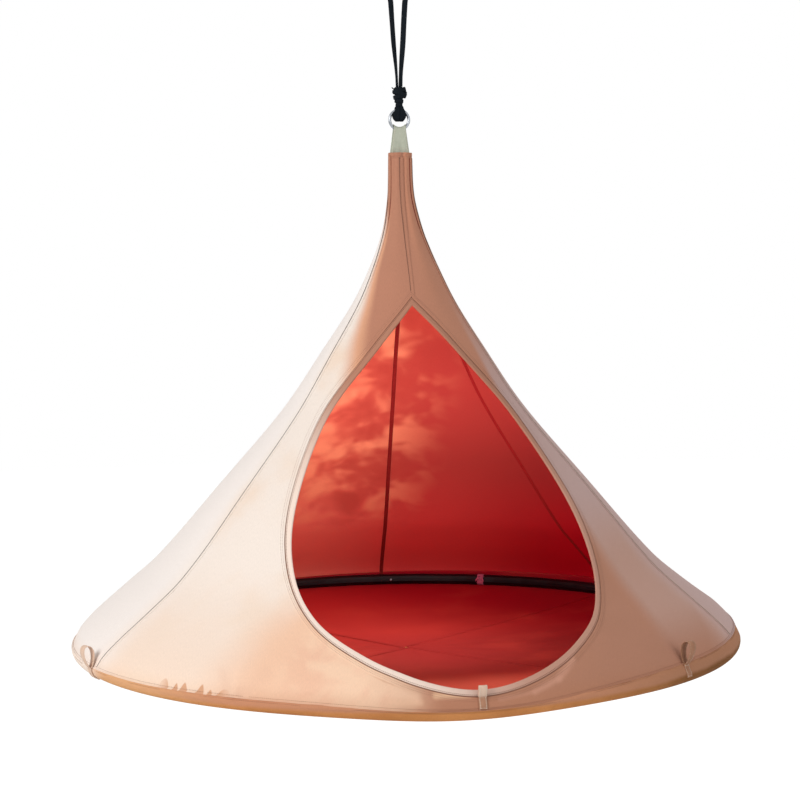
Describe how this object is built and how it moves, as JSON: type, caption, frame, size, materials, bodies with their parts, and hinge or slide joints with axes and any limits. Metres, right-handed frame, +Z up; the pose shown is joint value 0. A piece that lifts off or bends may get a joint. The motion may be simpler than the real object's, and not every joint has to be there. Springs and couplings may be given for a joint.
{
  "type": "hanging tent",
  "caption": "Cone-shaped canvas hanging tent with a teardrop doorway, cloth floor on a tube ring and a strap to a ceiling bracket.",
  "frame": {"origin": "middle of the ceiling bracket's flat top face", "axes": "+Z up; the doorway faces -Y; +X is to the right of a viewer who faces the doorway"},
  "size_m": [1.8006, 1.8033, 1.8518],
  "materials": {
    "canvas": "matt woven cotton canvas",
    "floor_cloth": "matt woven cloth, golden brown",
    "binding": "light beige twill tape",
    "dark_webbing": "dark red webbing",
    "collar": "pale grey-green webbing",
    "strap": "black flat webbing",
    "steel": "polished steel",
    "zinc": "zinc plated steel",
    "tube": "dark powder coat, satin",
    "button": "plain steel",
    "pink_tape": "pink tape",
    "loop_tape": "beige tape with white stitching"
  },
  "bodies": {
    "bracket": {"ceiling_bracket": "zinc", "hanger_bolt": "zinc", "hanger_nut": "zinc"},
    "strap": {"strap_left": "strap", "strap_right": "strap", "strap_knot": "strap", "strap_bight_left": "strap", "strap_bight_right": "strap"},
    "ring": {"steel_ring": "steel"},
    "tent": {"back_webbing": "dark_webbing", "base_piping": "binding", "button_spring_1": "button", "button_spring_2": "button", "button_spring_3": "button", "button_spring_4": "button", "button_spring_5": "button", "button_spring_6": "button", "canopy_panel_1": "canvas", "canopy_panel_2": "canvas", "canopy_panel_3": "canvas", "canopy_panel_4": "canvas", "canopy_panel_5": "canvas", "canopy_panel_6": "canvas", "collar_webbing": "collar", "door_binding": "binding", "floor_panel_1": "floor_cloth", "floor_panel_2": "floor_cloth", "floor_panel_3": "floor_cloth", "floor_panel_4": "floor_cloth", "front_webbing": "dark_webbing", "loop_tab_back": "loop_tape", "loop_tab_door": "loop_tape", "loop_tab_left": "loop_tape", "loop_tab_right": "loop_tape", "neck_hem": "canvas", "ring_tie_back": "pink_tape", "ring_tie_left": "pink_tape", "ring_tie_right": "pink_tape", "ring_tube_1": "tube", "ring_tube_2": "tube", "ring_tube_3": "tube", "ring_tube_4": "tube", "ring_tube_5": "tube", "ring_tube_6": "tube"},
    "loop_right": {"rim_loop_right": "loop_tape"},
    "loop_back": {"rim_loop_back": "loop_tape"},
    "loop_left": {"rim_loop_left": "loop_tape"},
    "loop_door": {"door_loop": "loop_tape"},
    "button_1": {"snap_button_1": "button"},
    "button_2": {"snap_button_2": "button"},
    "button_3": {"snap_button_3": "button"},
    "button_4": {"snap_button_4": "button"},
    "button_5": {"snap_button_5": "button"},
    "button_6": {"snap_button_6": "button"}
  },
  "joints": [
    {"name": "strap_swing", "type": "hinge", "parent": "bracket", "child": "strap", "pos_m": [0, 0, -0.035], "axis": [1, 0, 0], "range_deg": [-30, 30]},
    {"name": "ring_sway", "type": "hinge", "parent": "strap", "child": "ring", "pos_m": [0, 0, -0.4175], "axis": [0, 1, 0], "range_deg": [-30, 30]},
    {"name": "collar_tilt", "type": "hinge", "parent": "ring", "child": "tent", "pos_m": [0, 0, -0.4435], "axis": [1, 0, 0], "range_deg": [-25, 25]},
    {"name": "loop_right_flop", "type": "hinge", "parent": "tent", "child": "loop_right", "pos_m": [0.55272, -0.69986, -1.77981], "axis": [0.7848, 0.6198, 0], "range_deg": [-5, 40], "stiffness_Nm_per_rad": 0.02},
    {"name": "loop_back_flop", "type": "hinge", "parent": "tent", "child": "loop_back", "pos_m": [0.40524, 0.79532, -1.78144], "axis": [-0.891, 0.454, 0], "range_deg": [-5, 40], "stiffness_Nm_per_rad": 0.02},
    {"name": "loop_left_flop", "type": "hinge", "parent": "tent", "child": "loop_left", "pos_m": [-0.85978, -0.27936, -1.80112], "axis": [0.309, -0.9511, 0], "range_deg": [-5, 40], "stiffness_Nm_per_rad": 0.02},
    {"name": "loop_door_flop", "type": "hinge", "parent": "tent", "child": "loop_door", "pos_m": [0, -0.89488, -1.7836], "axis": [1, 0, 0], "range_deg": [-5, 45], "stiffness_Nm_per_rad": 0.02},
    {"name": "button_1_press", "type": "slide", "parent": "tent", "child": "button_1", "axis": [0.7771, -0.6293, 0], "range_m": [0, 0.0046], "stiffness_N_per_m": 400},
    {"name": "button_2_press", "type": "slide", "parent": "tent", "child": "button_2", "axis": [0.9336, 0.3584, 0], "range_m": [0, 0.0046], "stiffness_N_per_m": 400},
    {"name": "button_3_press", "type": "slide", "parent": "tent", "child": "button_3", "axis": [0.1564, 0.9877, 0], "range_m": [0, 0.0046], "stiffness_N_per_m": 400},
    {"name": "button_4_press", "type": "slide", "parent": "tent", "child": "button_4", "axis": [-0.7771, 0.6293, 0], "range_m": [0, 0.0046], "stiffness_N_per_m": 400},
    {"name": "button_5_press", "type": "slide", "parent": "tent", "child": "button_5", "axis": [-0.9336, -0.3584, 0], "range_m": [0, 0.0046], "stiffness_N_per_m": 400},
    {"name": "button_6_press", "type": "slide", "parent": "tent", "child": "button_6", "axis": [-0.1564, -0.9877, 0], "range_m": [0, 0.0046], "stiffness_N_per_m": 400}
  ]
}
